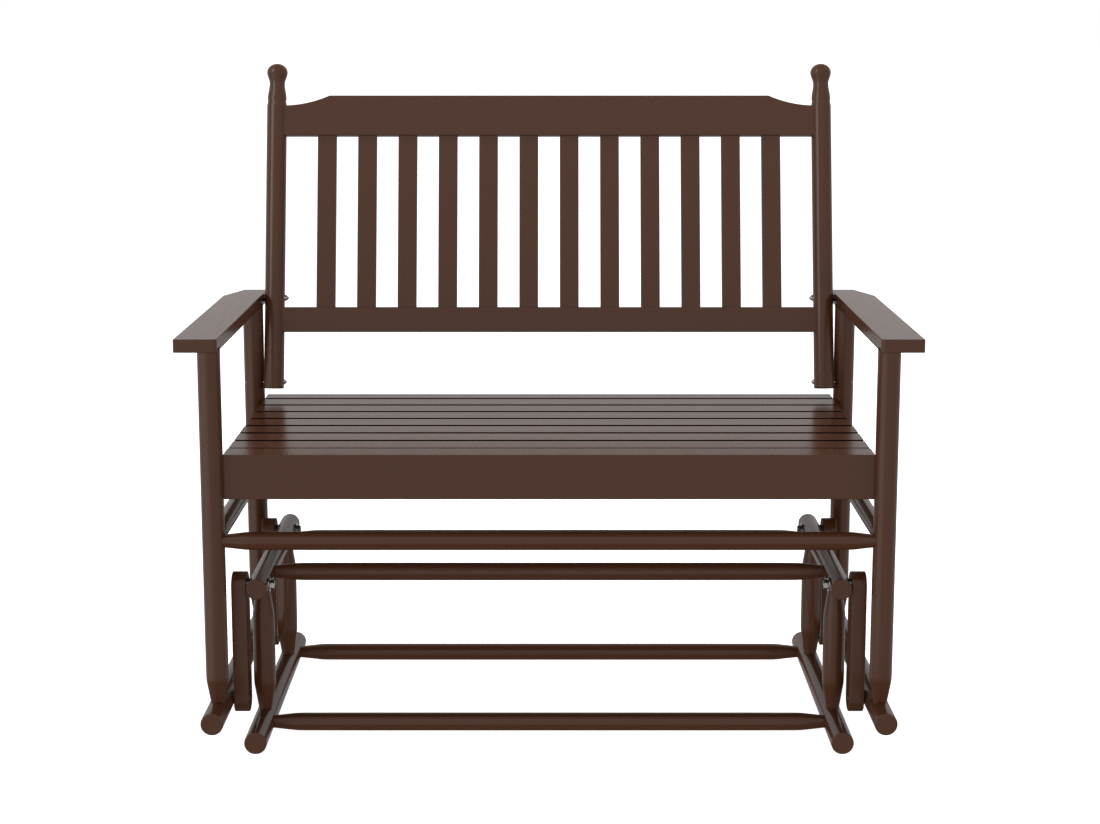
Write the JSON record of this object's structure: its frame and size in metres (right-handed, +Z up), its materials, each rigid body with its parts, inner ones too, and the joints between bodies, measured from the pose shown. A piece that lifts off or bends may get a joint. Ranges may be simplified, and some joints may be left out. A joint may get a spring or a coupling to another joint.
{
  "type": "glider bench",
  "caption": "Painted wooden glider bench with a slatted seat and back: a round-bar base stands still while the seat frame glides on hanging links.",
  "frame": {"origin": "on the floor under the middle of the bench's overall box", "axes": "+X across the bench to the right of somebody who looks at its front, +Y to the rear, +Z up"},
  "size_m": [1.1, 0.6274, 1.0192],
  "materials": {
    "painted_wood": "semi-gloss dark brown paint on turned and planed wood",
    "zinc_steel": "bright zinc plating",
    "nylon": "natural white nylon"
  },
  "bodies": {
    "base": {"base_floor_runner_left": "painted_wood", "base_floor_runner_right": "painted_wood", "base_leg_front_left": "painted_wood", "base_leg_front_right": "painted_wood", "base_leg_rear_left": "painted_wood", "base_leg_rear_right": "painted_wood", "base_lower_stretcher_front": "painted_wood", "base_lower_stretcher_rear": "painted_wood", "base_top_rail_left": "painted_wood", "base_top_rail_right": "painted_wood", "base_upper_stretcher_front": "painted_wood", "base_upper_stretcher_rear": "painted_wood", "upper_pivot_bolts": "zinc_steel", "upper_pivot_nuts_and_washers": "zinc_steel"},
    "link_front_left": {"link_bushes_front_left": "nylon", "link_front_left": "painted_wood"},
    "link_front_right": {"link_bushes_front_right": "nylon", "link_front_right": "painted_wood"},
    "link_rear_left": {"link_bushes_rear_left": "nylon", "link_rear_left": "painted_wood"},
    "link_rear_right": {"link_bushes_rear_right": "nylon", "link_rear_right": "painted_wood"},
    "seat": {"armrest_left": "painted_wood", "armrest_right": "painted_wood", "back_bottom_rail": "painted_wood", "back_slats_left": "painted_wood", "back_slats_right": "painted_wood", "back_stile_left": "painted_wood", "back_stile_right": "painted_wood", "back_top_rail": "painted_wood", "front_post_left": "painted_wood", "front_post_right": "painted_wood", "front_stretcher": "painted_wood", "lower_pivot_bolts": "zinc_steel", "lower_pivot_nuts_and_washers": "zinc_steel", "rear_post_left": "painted_wood", "rear_post_right": "painted_wood", "rear_stretcher": "painted_wood", "seat_centre_bearer": "painted_wood", "seat_frame_screws": "zinc_steel", "seat_front_apron": "painted_wood", "seat_rear_apron": "painted_wood", "seat_runner_left": "painted_wood", "seat_runner_right": "painted_wood", "seat_side_apron_left": "painted_wood", "seat_side_apron_right": "painted_wood", "seat_slat_1": "painted_wood", "seat_slat_2": "painted_wood", "seat_slat_3": "painted_wood", "seat_slat_4": "painted_wood", "seat_slat_5": "painted_wood", "seat_slat_6": "painted_wood", "seat_slat_7": "painted_wood", "seat_slat_8": "painted_wood", "seat_slat_9": "painted_wood", "side_stretcher_left": "painted_wood", "side_stretcher_right": "painted_wood", "stile_bolts": "zinc_steel", "stile_cap_nuts_and_spacers": "zinc_steel"}
  },
  "joints": [
    {"name": "glide", "type": "hinge", "parent": "base", "child": "link_front_left", "pos_m": [-0.472, -0.19873, 0.2425], "axis": [1, 0, 0], "range_deg": [-20, 20]},
    {"name": "swing_front_right", "type": "hinge", "parent": "base", "child": "link_front_right", "pos_m": [0.472, -0.19873, 0.2425], "axis": [1, 0, 0], "range_deg": [-20, 20]},
    {"name": "swing_rear_left", "type": "hinge", "parent": "base", "child": "link_rear_left", "pos_m": [-0.472, 0.12027, 0.2425], "axis": [1, 0, 0], "range_deg": [-20, 20]},
    {"name": "swing_rear_right", "type": "hinge", "parent": "base", "child": "link_rear_right", "pos_m": [0.472, 0.12027, 0.2425], "axis": [1, 0, 0], "range_deg": [-20, 20]},
    {"name": "seat_level", "type": "hinge", "parent": "link_front_left", "child": "seat", "pos_m": [-0.472, -0.19873, 0.061], "axis": [1, 0, 0], "range_deg": [-20, 20]}
  ],
  "couplings": [
    {"joint": "swing_front_right", "follows": "glide", "ratio": 1},
    {"joint": "swing_rear_left", "follows": "glide", "ratio": 1},
    {"joint": "swing_rear_right", "follows": "glide", "ratio": 1},
    {"joint": "seat_level", "follows": "glide", "ratio": -1}
  ]
}
